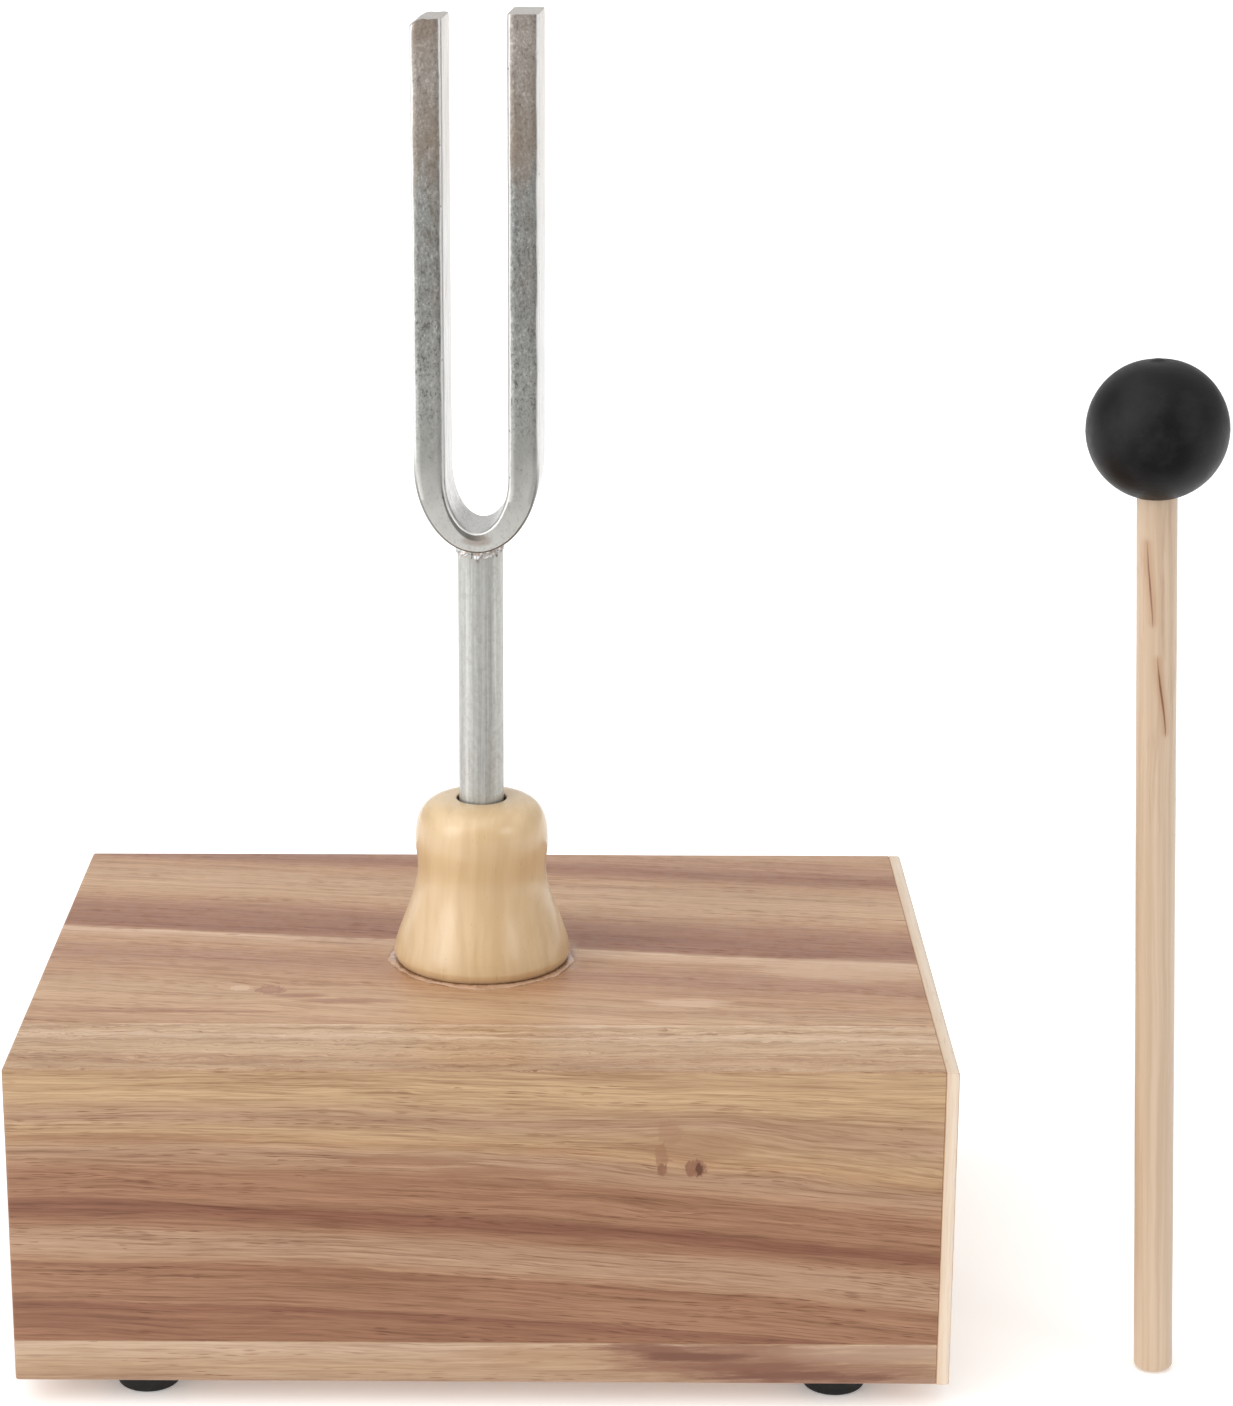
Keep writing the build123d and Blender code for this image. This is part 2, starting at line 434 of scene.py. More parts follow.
BOTTOM_EDGE_LAY = Lay(
    [(-6, RED), (-2, CLAY), (0, SAND), (1.5, HONEY), (4, STRAW), (8, CREAM), (14, CREAM)],
    slope=-0.012,
    wobble=0.5,
    contrast=0.8,
    # The tint darkens the whole face: partly the board's own tone, partly painted shade along the bottom
    # of the box.
    tint=(0.79, 0.79, 0.86),
    spots=(
        (18.0, 6.0, 26.0, 2.6, 0.55, AMBER), (46.0, 5.6, 24.0, 4.6, 0.90, RED),
        (64.0, 2.6, 30.0, 3.4, 0.85, RED), (33.0, 7.4, 11.0, 1.0, 0.85, BROWN),
        (41.0, 5.6, 12.0, 1.1, 0.90, UMBER), (51.0, 3.6, 13.0, 1.2, 0.90, BROWN),
        (62.0, 1.6, 20.0, 1.2, 0.85, UMBER), (76.0, 6.4, 20.0, 2.2, 0.70, SAND),
    ),
)
TOP_LAY = Lay(
    [
        (14, TAN), (30, STRAW), (37, HONEY), (44, TAN), (54, CLAY), (62, TAN), (68.6, CREAM),
        (69.4, ROSE), (70.6, RED), (76, RED), (84, ROSE), (90, TAN), (96, STRAW), (107, HONEY),
        (113, TAN), (117, ROSE), (120, RED), (124, CLAY), (132, TAN),
    ],
    slope=0.125,
    wobble=0.55,
    curl=0.8,
    tint=(0.98, 0.945, 1.005),
    knots=((-43.0, 39.5, 12.0, 5.0, 4.0),),
    spots=(
        (-49.0, 43.6, 2.4, 1.5, 0.80, CREAM), (-43.0, 42.4, 3.2, 2.4, 0.80, RED),
        (-43.2, 42.8, 1.8, 1.2, 0.75, CLAY), (-37.0, 39.5, 6.0, 1.3, 0.80, RED),
        (-27.0, 36.5, 11.0, 1.6, 0.75, RED), (-62.0, 30.5, 26.0, 0.8, 0.75, RED),
        (40.0, 36.0, 9.0, 2.6, 0.75, CREAM), (74.0, 55.0, 22.0, 7.0, 0.50, CREAM),
        (52.0, 31.0, 30.0, 0.8, 0.45, ROSE), (-70.0, 32.0, 20.0, 0.8, 0.45, ROSE),
    ),
)
PLAIN_LAY = Lay(
    [
        (0, HONEY), (12, CLAY), (20, STRAW), (30, TAN), (38, RED), (46, CLAY), (56, HONEY),
        (70, ROSE), (90, STRAW), (128, RED),
    ],
    slope=0.05,
)
PANEL_LAY = Lay(
    [(0, STRAW), (15, CREAM), (28, STRAW), (40, CREAM), (52, HONEY), (64, CREAM)],
    slope=0.02,
    wobble=1.6,
    contrast=0.4,
    pores=0.4,
)
PANEL_EDGE_LAY = Lay(
    [
        (86, rgb(214, 190, 162)),
        (88.2, rgb(220, 198, 174)),
        (89.2, rgb(226, 208, 188)),
        (91, rgb(224, 208, 192)),
    ],
    wobble=0.15,
    contrast=0.25,
    pores=0.3,
    swap=True,
)


# ---- mesh helpers


def sway(point, size, reach, seed=0.0):
    """A smooth push in all three directions, the same wherever two pieces share a point.

    noise_vector takes its offsets from the clock, so the push differs a little from run to run.
    noise.seed_set() before the first call would fix it.
    """
    place = Vector(point) / reach + Vector((seed, seed * 2, seed * 3))
    return noise.noise_vector(place) * size


def make_piece(name, vertices, faces, material, body, smooth_angle=32):
    """A mesh piece from points in mm, smooth up to an angle. It rides on a body, if one is given."""
    mesh = bpy.data.meshes.new(name)
    mesh.from_pydata([Vector(v) * MM for v in vertices], [], faces)
    piece = bpy.data.objects.new(name, mesh)
    bpy.context.collection.objects.link(piece)
    work = bmesh.new()
    work.from_mesh(mesh)
    bmesh.ops.recalc_face_normals(work, faces=work.faces)
    for face in work.faces:
        face.smooth = True
    for edge in work.edges:
        if len(edge.link_faces) == 2 and edge.calc_face_angle() > math.radians(smooth_angle):
            edge.smooth = False
    work.to_mesh(mesh)
    work.free()
    mesh.materials.append(material)
    if body:
        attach(piece, body)
    return piece


def skin(rings):
    """Faces between neighbouring rings of vertex numbers. A ring of one repeated vertex is a pole."""
    faces = []
    for low, high in zip(rings, rings[1:]):
        for i in range(len(low)):
            after = (i + 1) % len(low)
            faces.append(list(dict.fromkeys((low[i], low[after], high[after], high[i]))))
    return faces


def lathe(name, profile, material, body, foot, axis=UP, segments=144, shape=None):
    """Turns a profile of (radius, height) points round an axis. shape() may push each point."""
    across = axis.orthogonal().normalized()
    onward = axis.cross(across).normalized()
    rings = []
    vertices = []
    for radius, height in profile:
        if radius < 1e-6:
            rings.append([len(vertices)] * segments)
            vertices.append(foot + axis * height)
            continue
        rings.append(list(range(len(vertices), len(vertices) + segments)))
        for step in range(segments):
            turn = FULL_TURN * step / segments
            out, rise = shape(turn, radius, height) if shape else (radius, height)
            outward = across * math.cos(turn) + onward * math.sin(turn)
            vertices.append(foot + outward * out + axis * rise)
    return make_piece(name, vertices, skin(rings), material, body)


def round_corner(center, radius, start, end, steps=5):
    """Points on an arc of a profile, with angles in degrees."""
    out = []
    for step in range(steps + 1):
        angle = math.radians(start + (end - start) * step / steps)
        out.append((center[0] + radius * math.cos(angle), center[1] + radius * math.sin(angle)))
    return out


def curve_between(start, end, start_tangent, end_tangent, steps):
    """Points on a cubic curve in a profile, without its first point."""
    out = []
    for step in range(1, steps + 1):
        t = step / steps
        weights = (2 * t**3 - 3 * t**2 + 1, t**3 - 2 * t**2 + t, 3 * t**2 - 2 * t**3, t**3 - t**2)
        values = (start, start_tangent, end, end_tangent)
        out.append(tuple(sum(w * v[i] for w, v in zip(weights, values)) for i in range(2)))
    return out


# ---- box


def board_piece(name, low, high, material, round_edges, edge=0.55):
    """A board cut into a grid. round_edges names its rounded edges by their two sides, such as "-x+z"."""
    work = bmesh.new()
    bmesh.ops.create_cube(work, size=1.0)
    size = high - low
    for vertex in work.verts:
        vertex.co = Vector((low[i] + (vertex.co[i] + 0.5) * size[i] for i in range(3)))
    work.normal_update()

    def sides(work_edge):
        names = set()
        for face in work_edge.link_faces:
            for number, letter in enumerate("xyz"):
                if abs(face.normal[number]) > 0.9:
                    names.add(("+" if face.normal[number] > 0 else "-") + letter)
        return names

    wanted = [{pair[:2], pair[2:]} for pair in round_edges.split()]
    chosen = [e for e in work.edges if sides(e) in wanted]
    others = [e for e in work.edges if sides(e) not in wanted]
    ways = {"affect": "EDGES", "clamp_overlap": True}
    bmesh.ops.bevel(work, geom=chosen, offset=edge, segments=4, profile=0.5, **ways)
    sharp = [e for e in work.edges if e in others or (e.is_valid and e.calc_face_angle(0) > 1.2)]
    bmesh.ops.bevel(work, geom=sharp, offset=0.15, segments=1, **ways)
    for number in range(3):
        cuts = max(2, round(size[number] / 6))
        for cut in range(1, cuts):
            place = Vector(low)
            place[number] += size[number] * cut / cuts
            direction = Vector([float(i == number) for i in range(3)])
            geometry = list(work.verts) + list(work.edges) + list(work.faces)
            bmesh.ops.bisect_plane(work, geom=geometry, plane_co=place, plane_no=direction, dist=1e-5)
    for vertex in work.verts:
        vertex.co += sway(vertex.co, 0.05, 22) + sway(vertex.co, 0.02, 4)
    work.verts.index_update()
    vertices = [v.co.copy() for v in work.verts]
    faces = [[v.index for v in f.verts] for f in work.faces]
    work.free()
    return make_piece(name, vertices, faces, material, "resonance_box", 24)


def make_box():
    front_paint = board_paint("front_board_wood", 1.0, FRONT_LAY, STRIP_LAY, tone=RED)
    bottom_paint = board_paint("bottom_board_wood", 2.0, BOTTOM_EDGE_LAY, PLAIN_LAY, tone=CLAY)
    top_paint = board_paint("top_board_wood", 3.0, PLAIN_LAY, TOP_LAY, tone=CLAY, stain=glue_smears_and_foot_shade)
    back_paint = board_paint("back_board_wood", 4.0, PLAIN_LAY, PLAIN_LAY, tone=ROSE)
    panel_paint = board_paint("end_panel_wood", 5.0, PANEL_EDGE_LAY, PANEL_EDGE_LAY, PANEL_LAY, coat=0.15)
    pieces = (
        ("front_board", front_paint, "-y+z -x-y -x+z"),
        ("bottom_board", bottom_paint, "-y-z +y-z -x-z -x-y -x+y"),
        ("top_board", top_paint, "+y+z -x+z -x+y"),
        ("back_board", back_paint, "-x+y"),
        ("end_panel", panel_paint, "+x-y +x+y +x+z +x-z -y+z +y+z"),
    )
    for node, paint, edges in pieces:
        piece = board_piece(node + "_look", *corners(node), paint, edges)
        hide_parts(node)


# ---- feet


def rubber_paint(name, tone, scuff, rough, gloss):
    """Matte rubber: a fine mould texture, faint dust and scuffs."""
    paint = Paint(name, Specular_IOR_Level=gloss)
    cloud = paint.noise(paint.place, 0.16, 4.0, 0.6)
    fine = paint.noise(paint.place, 3.2, 3.0, 0.6)
    lines = paint.noise(paint.stretch(paint.place, 0.25, 0.25, 1.6), 1.0, 5.0, 0.7)
    colour = paint.mix(paint.between(cloud, 0.40, 0.68), tone, scuff)
    colour = paint.mix(paint.between(lines, 0.60, 0.78, 0, 0.35), colour, scuff)
    wear_and_painted_shade = paint.between(cloud, 0.35, 0.7, rough - 0.05, rough + 0.08)
    roughness = paint.add(wear_and_painted_shade, paint.between(fine, 0.4, 0.8, 0, 0.06))
    normal = paint.bump(fine, 0.03, paint.bump(lines, 0.03))
    return paint.surface(colour, roughness, normal)


def pad_paint():
    paint = Paint("foot_pad_adhesive", IOR=1.45)
    bubbles = paint.noise(paint.place, 0.9, 3.0)
    colour = paint.mix(paint.between(bubbles, 0.35, 0.7), rgb(196, 190, 176), rgb(222, 218, 206))
    return paint.finish(Base_Color=colour, Roughness=paint.between(bubbles, 0.3, 0.7, 0.25, 0.5))


def make_feet():
    paint = rubber_paint("foot_rubber_black", rgb(24, 24, 25), rgb(44, 43, 42), 0.62, 0.3)
    for node in ("foot_front_left", "foot_front_right", "foot_back_left", "foot_back_right"):
        low, high = corners(node)
        tall = high.z - low.z
        wide = (high.x - low.x) / 2
        tip = wide - 1.0
        profile = [(0, 0.25), (tip * 0.55, 0.22), (tip * 0.72, 0.05)]
        profile += round_corner((tip - 1.1, 1.1), 1.1, -90, -8, 7)
        profile.append((wide - 0.35, tall - 1.0))
        profile += [*round_corner((wide - 0.5, tall - 0.5), 0.5, 0, 90, 5), (0, tall)]
        foot = Vector(((low.x + high.x) / 2, (low.y + high.y) / 2, low.z))
        piece = lathe(node + "_look", profile, paint, "resonance_box", foot, segments=96)
        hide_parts(node)
    pads = bpy.data.objects["foot_adhesive_pads"]
    pads.data.materials.clear()
    pads.data.materials.append(pad_paint())


# ---- socket

SOCKET_BASE = 18.0
SOCKET_RIM = 1.6
SOCKET_WAIST = (13.05, 20.0)
SOCKET_SHOULDER = (13.5, 25.5)
SOCKET_HEIGHT = 34.2
SOCKET_LAND = 6.4
BORE_RADIUS = 4.56
MOUTH_RADIUS = 4.95
BORE_DEPTH = 34.3
MOUTH_DEPTH = 3.0
SPIGOT_RADIUS = 6.9
SPIGOT_LENGTH = 8.0


def turned_paint():
    """Lacquered pale turned wood: faint grain up the bell, faint rings from the tool, a soft gloss, and
    painted shade round the mouth and along the foot.
    """
    paint = Paint("socket_turned_wood", Coat_Weight=0.8, Coat_Roughness=0.17, Coat_IOR=1.5)
    local = paint.measured_from(FORK_FOOT)
    x, y, z = paint.split(local)
    bent = paint.add(paint.times(paint.noise(paint.stretch(local, 0.05, 0.05, 0.02)), 9), x)
    grown = paint.join(bent, y, z)
    streaks = paint.noise(paint.stretch(grown, 0.30, 0.12, 0.012), 1.0, 3.0, 0.55)
    fibres = paint.noise(paint.stretch(grown, 1.9, 1.2, 0.05), 1.0, 4.0, 0.7)
    colour = paint.mix(paint.between(streaks, 0.34, 0.66), rgb(220, 191, 148), rgb(209, 178, 134))
    colour = paint.over(colour, rgb(196, 160, 116), fibres, 0.52, 0.80, 0.09)
    colour = paint.over(colour, rgb(236, 213, 176), fibres, 0.46, 0.20, 0.08)
    dashes = paint.stretch(grown, 2.2, 2.2, 0.16)
    pore = paint.specks(dashes, 1.0, 0.30, 0.10, 0.12)
    colour = paint.mix(paint.times(pore, 0.25), colour, rgb(150, 110, 74))
    away = paint.vector("LENGTH", paint.stretch(local, 1, 1, 0), None, 1)
    # Painted shade: darker round the mouth, where the stem goes in.
    colour = paint.over(colour, rgb(92, 62, 42), away, 5.3, 4.9, 0.85)
    # Painted shade: darker along the foot, where the bell meets the board.
    foot = paint.between(paint.add(z, paint.times(fibres, 0.9)), 0.95, 0.40)
    colour = paint.mix(paint.times(foot, 0.7), colour, rgb(124, 80, 52))
    rings = paint.noise(paint.join(paint.times(away, 1.2), paint.times(z, 1.8), 0.0), 1.0, 4.0, 0.6)
    normal = paint.bump(rings, 0.02, paint.bump(fibres, 0.012))
    rough = paint.between(fibres, 0.3, 0.7, 0.36, 0.48)
    return paint.surface(colour, rough, normal)


def glue_paint():
    """Old wood glue: a thin, half clear film over the boards, glossy, with painted shade where it fills
    the gap at the socket's foot.
    """
    paint = Paint("socket_dried_glue", Coat_Weight=0.6, Coat_Roughness=0.1)
    blobs = paint.noise(paint.place, 0.45, 4.0, 0.6)
    away = from_socket(paint)
    colour = paint.mix(paint.between(blobs, 0.35, 0.68), rgb(178, 139, 110), rgb(198, 162, 132))
    # Painted shade in the gap at the socket's foot.
    gap = paint.between(paint.add(away, paint.times(blobs, 1.2)), 18.75, 18.35)
    colour = paint.mix(paint.times(gap, 0.75), colour, rgb(108, 66, 42))
    rough = paint.between(blobs, 0.35, 0.7, 0.2, 0.38)
    return paint.surface(colour, rough, paint.bump(blobs, 0.08))


def make_socket():
    rim_edge = 0.75
    spigot_edge = 0.4
    profile = [(0, -SPIGOT_LENGTH), (SPIGOT_RADIUS - spigot_edge, -SPIGOT_LENGTH)]
    profile += [(SPIGOT_RADIUS, -SPIGOT_LENGTH + spigot_edge)]
    profile += [(SPIGOT_RADIUS, 0.02), (SOCKET_BASE - rim_edge - 0.5, 0.02)]
    rim = (SOCKET_BASE, SOCKET_RIM + 0.6)
    profile += curve_between((SOCKET_BASE - rim_edge, 0.25), rim, (0.9, 0.5), (-0.3, 2.2), 10)
    profile += curve_between(rim, SOCKET_WAIST, (-2.3, 14), (0, 18), 44)
    profile += curve_between(SOCKET_WAIST, SOCKET_SHOULDER, (0, 6), (0, 6), 16)
    land = (SOCKET_LAND, SOCKET_HEIGHT)
    profile += curve_between(SOCKET_SHOULDER, land, (0, 16), (-17, 0), 34)
    profile += round_corner((MOUTH_RADIUS + 0.5, SOCKET_HEIGHT - 0.5), 0.5, 90, 180, 5)
    ledge = SOCKET_HEIGHT - MOUTH_DEPTH
    profile += [(MOUTH_RADIUS, ledge), (BORE_RADIUS, ledge - 0.3)]
    profile += [(BORE_RADIUS, SOCKET_HEIGHT - BORE_DEPTH), (0, SOCKET_HEIGHT - BORE_DEPTH)]

    def turned(turn, radius, height):
        if radius < MOUTH_RADIUS + 0.2 or height < 0.1:
            return radius, height
        way = Vector((math.cos(turn) * 1.3, math.sin(turn) * 1.3, height / 9))
        return radius + 0.06 * noise.noise(way) - 0.03, height

    paint = turned_paint()
    piece = lathe(
        "fork_socket_look", profile, paint, "resonance_box", FORK_FOOT, segments=180, shape=turned
    )
    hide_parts("fork_socket")

    inner = SOCKET_BASE - 1.1

    def bead(turn, radius, height):
        way = Vector((math.cos(turn) * 3.2, math.sin(turn) * 3.2, 4.0))
        lump = 0.70 + 0.7 * noise.noise(way * 0.7) + 0.25 * noise.noise(way * 2.3)
        lump = min(max(lump + 0.06 * noise.noise(way * 7), 0.45), 1.25)
        return inner + (radius - inner) * lump, height * (0.6 + 0.4 * lump if height > 0 else 1)

    reach, thick = 2.6, 0.34
    arc = [(inner, -0.02), (inner + reach, -0.02)]
    for angle in (0.1, 0.2, 0.35, 0.6, 0.9, 1.2, 1.45):
        arc.append((inner + reach * math.cos(angle) ** 0.8, thick * math.sin(angle) ** 0.7))
    arc += [(inner, thick), (inner, -0.02)]
    paint = glue_paint()
    bead_piece = lathe(
        "socket_glue_look", arc, paint, "resonance_box", FORK_FOOT, segments=240, shape=bead
    )
    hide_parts("socket_glue_bead")


# ---- fork


def on_fork(point):
    """From the fork's own frame, with its X across the two tines and its Z from the top of the box."""
    return FORK_FOOT + FORK_TURN @ Vector(point)


def fork_axes():
    return tuple(FORK_TURN @ Vector((1, 0, 0))), tuple(FORK_TURN @ Vector((0, 1, 0)))


def bar_paint():
    """Plated steel bar: dull pitted flats, brown towards the tips, edges filed bright, a painted sheen
    towards the bend and a painted shade line inside it.
    """
    paint = Paint("fork_plated_steel", Metallic=1.0)
    local = paint.measured_from(FORK_FOOT)
    height = paint.split(local)[2]
    across, through = fork_axes()
    normal_through = paint.facing(through, 0.90, 0.985)
    beside = paint.facing(through, 0.38, 0.22)
    fine = paint.noise(paint.stretch(local, 1.0, 1.0, 0.7), 2.2, 4.0, 0.75)
    coarse = paint.noise(paint.stretch(local, 1.0, 1.0, 0.6), 0.75, 4.0, 0.7)
    mottle = paint.add(paint.times(fine, 0.62), paint.times(coarse, 0.38))
    cloud = paint.noise(paint.stretch(local, 0.16, 0.16, 0.07), 1.0, 4.0, 0.6)
    rolled = paint.noise(paint.stretch(local, 2.4, 2.4, 0.09), 1.0, 4.0, 0.65)
    level = paint.between(paint.add(height, paint.times(cloud, 16)), 92, 205, smooth=False)
    # Lighter towards the bend: painted sheen. Greyer and browner towards the tips: patina.
    plating_and_bend_sheen = [
        (0.0, rgb(250, 249, 243)), (0.10, rgb(232, 231, 225)), (0.20, rgb(190, 190, 185)),
        (0.45, rgb(166, 167, 164)), (0.62, rgb(163, 164, 161)), (0.76, rgb(176, 168, 160)),
        (1.0, rgb(181, 170, 162)),
    ]
    bright = paint.ramp(level, plating_and_bend_sheen)
    grit = paint.mix_number(paint.between(height, 122, 102), 1.0, 0.2)
    pocked = paint.between(height, 175, 125, 0.60, 0.85)
    dark = paint.times(paint.between(mottle, 0.50, 0.61), paint.times(pocked, grit))
    dull = paint.mix(dark, bright, rgb(112, 109, 103))
    light = paint.times(paint.between(mottle, 0.48, 0.37, 0, 0.60), grit)
    dull = paint.mix(light, dull, rgb(232, 230, 227))
    sideways = paint.vector("DOT_PRODUCT", local, across, 1)
    beneath = paint.times(sideways, 1 / 3.2)
    lower = paint.times(paint.add(height, -89.3), 1 / 1.3)
    away = paint.squares(beneath, lower)
    stain = paint.between(paint.add(away, paint.times(cloud, 0.8)), 1.7, 0.5, 0, 0.5)
    dull = paint.mix(stain, dull, rgb(168, 142, 124))

    def past_curve(half_width, center, drop):
        """How far a place lies outside one curve of the U, as a share of the curve's own size."""
        beside = paint.times(sideways, 1 / half_width)
        below = paint.times(paint.math("MINIMUM", paint.add(height, -center), 0.0), 1 / drop)
        return paint.add(paint.math("SQRT", paint.squares(beside, below)), -1)

    # Painted shade: a dark line along the inner curve of the bend, at the shadowed edge of its rounding.
    from_gap = past_curve(TINE_GAP / 2, INNER_CENTER, INNER_DROP)
    wear_and_painted_shade = paint.times(paint.between(from_gap, 0.155, 0.12), paint.between(sideways, 3.1, -1.9))
    wear_and_painted_shade = paint.times(wear_and_painted_shade, paint.between(height, 104, 97, 0, 0.75))
    dull = paint.mix(wear_and_painted_shade, dull, rgb(84, 83, 80))
    upper = paint.between(paint.add(height, paint.times(cloud, 60)), 150, 215)
    browned = paint.times(paint.between(cloud, 0.35, 0.7), paint.times(upper, 0.5))
    dull = paint.mix(browned, dull, rgb(148, 128, 108))
    clean = paint.mix(paint.between(rolled, 0.35, 0.75), rgb(216, 215, 213), rgb(178, 176, 173))
    clean = paint.mix(paint.times(upper, 0.45), clean, rgb(190, 178, 164))
    filed = paint.mix(paint.between(mottle, 0.45, 0.8, 0, 0.5), rgb(230, 229, 227), rgb(184, 181, 176))
    from_rim = past_curve(TINE_GAP / 2 + TINE_THICKNESS, OUTER_CENTER, OUTER_DROP)
    rim = paint.times(paint.between(from_rim, -0.055, -0.03), paint.between(height, 108, 98, 0, 0.75))
    filed = paint.mix(rim, filed, rgb(92, 91, 88))
    colour = paint.mix(normal_through, filed, dull)
    colour = paint.mix(beside, colour, clean)
    pit = paint.specks(local, 0.85, 0.26, 0.08, 0.10)
    colour = paint.mix(paint.times(pit, 0.55), colour, rgb(92, 84, 76))
    smooth_bend = paint.between(height, 112, 92)
    flat_rough = paint.between(mottle, 0.3, 0.7, 0.34, 0.5)
    rough = paint.mix_number(smooth_bend, flat_rough, 0.46)
    rough = paint.mix_number(beside, rough, paint.between(rolled, 0.3, 0.7, 0.24, 0.4))
    relief = paint.add(paint.times(rolled, 0.3), paint.times(pit, -1))
    relief = paint.add(paint.times(mottle, 0.6), relief)
    relief = paint.times(relief, paint.mix_number(smooth_bend, 1.0, 0.25))
    return paint.surface(colour, rough, paint.bump(relief, 0.05))


def bar_stations(sign, tip):
    """The bar's path from its tip to the bottom of the U: inner point and outer point of each section."""
    inner_x = TINE_GAP / 2
    outer_x = inner_x + TINE_THICKNESS
    out = []
    steps = 56
    for step in range(steps):
        share = step / steps
        inner = (inner_x, tip + (INNER_CENTER - tip) * share)
        out.append((inner, (outer_x, tip + (OUTER_CENTER - tip) * share)))
    for step in range(steps + 1):
        angle = math.pi / 2 * step / steps
        inner = (inner_x * math.cos(angle), INNER_CENTER - INNER_DROP * math.sin(angle))
        outer = (outer_x * math.cos(angle), OUTER_CENTER - OUTER_DROP * math.sin(angle))
        out.append((inner, outer))
    return [((sign * a[0], a[1]), (sign * b[0], b[1])) for a, b in out]


def blend_points(start, end, share):
    return tuple(a + (b - a) * share for a, b in zip(start, end))


CUT_BULGE = 0.36  # how far the middle of a filed edge stays out: 0 is a sharp corner and 0.5 a flat cut
FACE_STEPS, SIDE_STEPS = 5, 9


def bar_outline(edge_at):
    """A bar section as (share of the thickness, place in depth). edge_at gives each edge's cut in mm."""
    half = BAR_DEPTH / 2
    corner_sides = ((0, -1), (1, -1), (1, 1), (0, 1))

    def cut_ends(number):
        """The two ends of one corner's cut, in the order in which the outline meets them."""
        side, depth = corner_sides[number]
        cut = edge_at(number)
        ends = (side, depth * (half - cut)), (abs(side - cut / TINE_THICKNESS), depth * half)
        return ends if number % 2 == 0 else ends[::-1]

    out = []
    for number, (side, depth) in enumerate(corner_sides):
        cut = edge_at(number) * CUT_BULGE
        first, last = cut_ends(number)
        middle = (abs(side - cut / TINE_THICKNESS), depth * (half - cut))
        out += [first, blend_points(first, middle, 0.5), middle, blend_points(last, middle, 0.5), last]
        target = cut_ends((number + 1) % 4)[0]
        steps = FACE_STEPS if number % 2 == 0 else SIDE_STEPS
        out += [blend_points(last, target, step / steps) for step in range(1, steps)]
    return out


def make_bar_half(name, sign, tip, material, top_shape):
    """Half of the U: one tine and its half of the bend, swept as one bar with hand-filed edges."""
    vertices = []
    rings = []

    def add_ring(inner, outer, shrink=0.0, drop=0.0):
        def cut(index):
            place = Vector((sign * 7.0 + index * 31.0, inner[1] / 9, index * 5.0))
            return 0.62 + 0.20 * noise.noise(place) + 0.10 * noise.noise(place * 4.3)

        ring = []
        for share, depth in bar_outline(cut):
            share = 0.5 + (share - 0.5) * (1 - shrink)
            depth *= 1 - shrink * 0.9
            x = inner[0] + (outer[0] - inner[0]) * share
            z = inner[1] + (outer[1] - inner[1]) * share
            if z > tip - 4:
                z = min(z, top_shape(share, depth)) - drop
            point = on_fork((x, depth, z))
            ring.append(len(vertices))
            vertices.append(point + sway(point, 0.03, 7, sign))
        rings.append(ring)

    stations = bar_stations(sign, tip)
    inner, outer = stations[0]
    for shrink in (0.75, 0.5, 0.25, 0.12):
        add_ring(inner, outer, shrink)
    add_ring(inner, outer, 0.05, 0.03)
    add_ring(inner, outer, 0.015, 0.14)
    for inner, outer in stations[1:]:
        add_ring(inner, outer)
    faces = [*skin(rings), rings[0], rings[-1][::-1]]
    piece = make_piece(name, vertices, faces, material, None)
    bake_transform(piece)
    return piece


def under_bend(x):
    """The height of the bend's underside."""
    reach = TINE_GAP / 2 + TINE_THICKNESS
    return OUTER_CENTER - OUTER_DROP * math.sqrt(max(0.0, 1 - (x / reach) ** 2))


def stem_paint():
    """Zinc-coated steel: mottled grey, with long scuffs from going in and out of the socket."""
    paint = Paint("stem_coated_steel", Metallic=0.45)
    local = paint.measured_from(FORK_FOOT)
    height = paint.split(local)[2]
    mottle = paint.noise(paint.stretch(local, 1.0, 1.0, 0.55), 1.4, 5.0, 0.72)
    scuffs = paint.noise(paint.stretch(local, 1.7, 1.7, 0.10), 1.0, 5.0, 0.7)
    spots = paint.noise(local, 0.5, 5.0, 0.65)
    drawn = paint.noise(paint.stretch(local, 0.85, 0.85, 0.012), 1.0, 4.0, 0.6)
    colour = paint.mix(paint.between(mottle, 0.36, 0.64), rgb(193, 194, 190), rgb(178, 178, 173))
    colour = paint.over(colour, rgb(222, 223, 220), drawn, 0.50, 0.66, 0.5)
    colour = paint.over(colour, rgb(150, 151, 147), drawn, 0.48, 0.34, 0.5)
    colour = paint.over(colour, rgb(158, 156, 151), scuffs, 0.52, 0.74, 0.45)
    colour = paint.over(colour, rgb(156, 153, 146), spots, 0.54, 0.72, 0.45)
    heat = paint.between(paint.add(height, paint.times(spots, 6)), 84, 92)
    colour = paint.mix(paint.times(heat, 0.2), colour, rgb(170, 156, 138))
    rough = paint.between(scuffs, 0.3, 0.75, 0.30, 0.42)
    rough = paint.add(rough, paint.between(spots, 0.5, 0.8, 0, 0.1))
    relief = paint.bump(scuffs, 0.008, paint.bump(mottle, 0.008))
    return paint.surface(colour, rough, relief)


def weld_paint():
    paint = Paint("weld_bead_steel", Metallic=0.6)
    ripple = paint.noise(paint.stretch(paint.place, 0.5, 0.5, 1.1), 1.0, 4.0, 0.6)
    soot = paint.noise(paint.place, 0.7, 4.0, 0.7)
    colour = paint.mix(paint.between(ripple, 0.35, 0.7), rgb(238, 239, 238), rgb(150, 149, 146))
    colour = paint.over(colour, rgb(96, 92, 87), soot, 0.54, 0.68, 0.6)
    rough = paint.between(soot, 0.3, 0.7, 0.20, 0.36)
    return paint.surface(colour, rough, paint.bump(ripple, 0.14))


